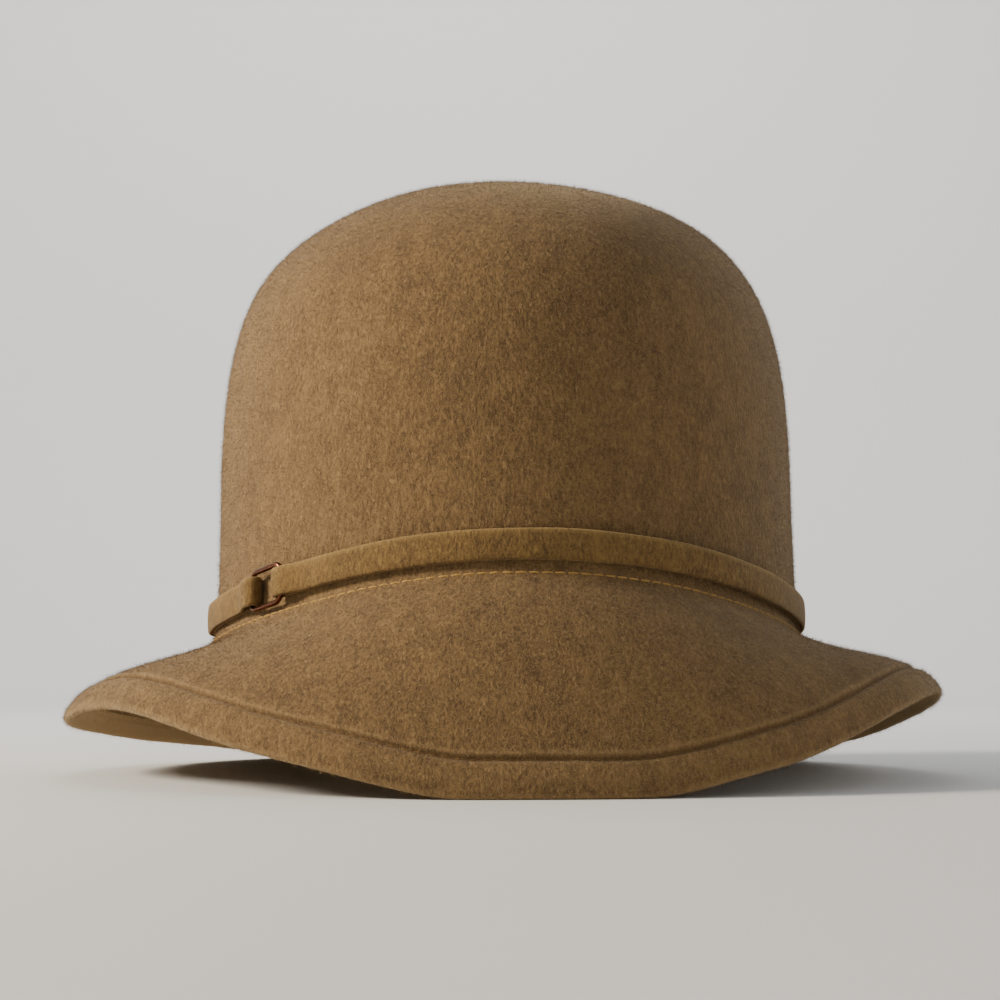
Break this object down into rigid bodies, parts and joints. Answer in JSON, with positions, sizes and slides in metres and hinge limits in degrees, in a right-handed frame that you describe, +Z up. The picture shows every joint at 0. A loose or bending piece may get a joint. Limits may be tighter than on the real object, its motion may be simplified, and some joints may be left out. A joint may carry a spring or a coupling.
{
  "type": "cloche hat",
  "caption": "Wool felt cloche hat with an upright rounded crown, a flared wavy brim with a turned-under hem, a narrow felt band held by a metal slide, and a ribbon sweatband inside.",
  "frame": {"origin": "on the table, under the middle of the hat's outline seen from above", "axes": "+Z up through the crown, -Y towards the front of the brim, +X towards the wearer's left"},
  "size_m": [0.259, 0.2642, 0.1744],
  "materials": {
    "camel_felt": "matte, short wool fibres",
    "band_felt": "matte, short wool fibres",
    "bronze_metal": "glossy dark bronze",
    "brown_ribbon": "fine ribbed ribbon"
  },
  "bodies": {
    "root": {"felt_body": "camel_felt", "band": "band_felt", "slide": "bronze_metal", "sweatband": "brown_ribbon"}
  },
  "joints": []
}
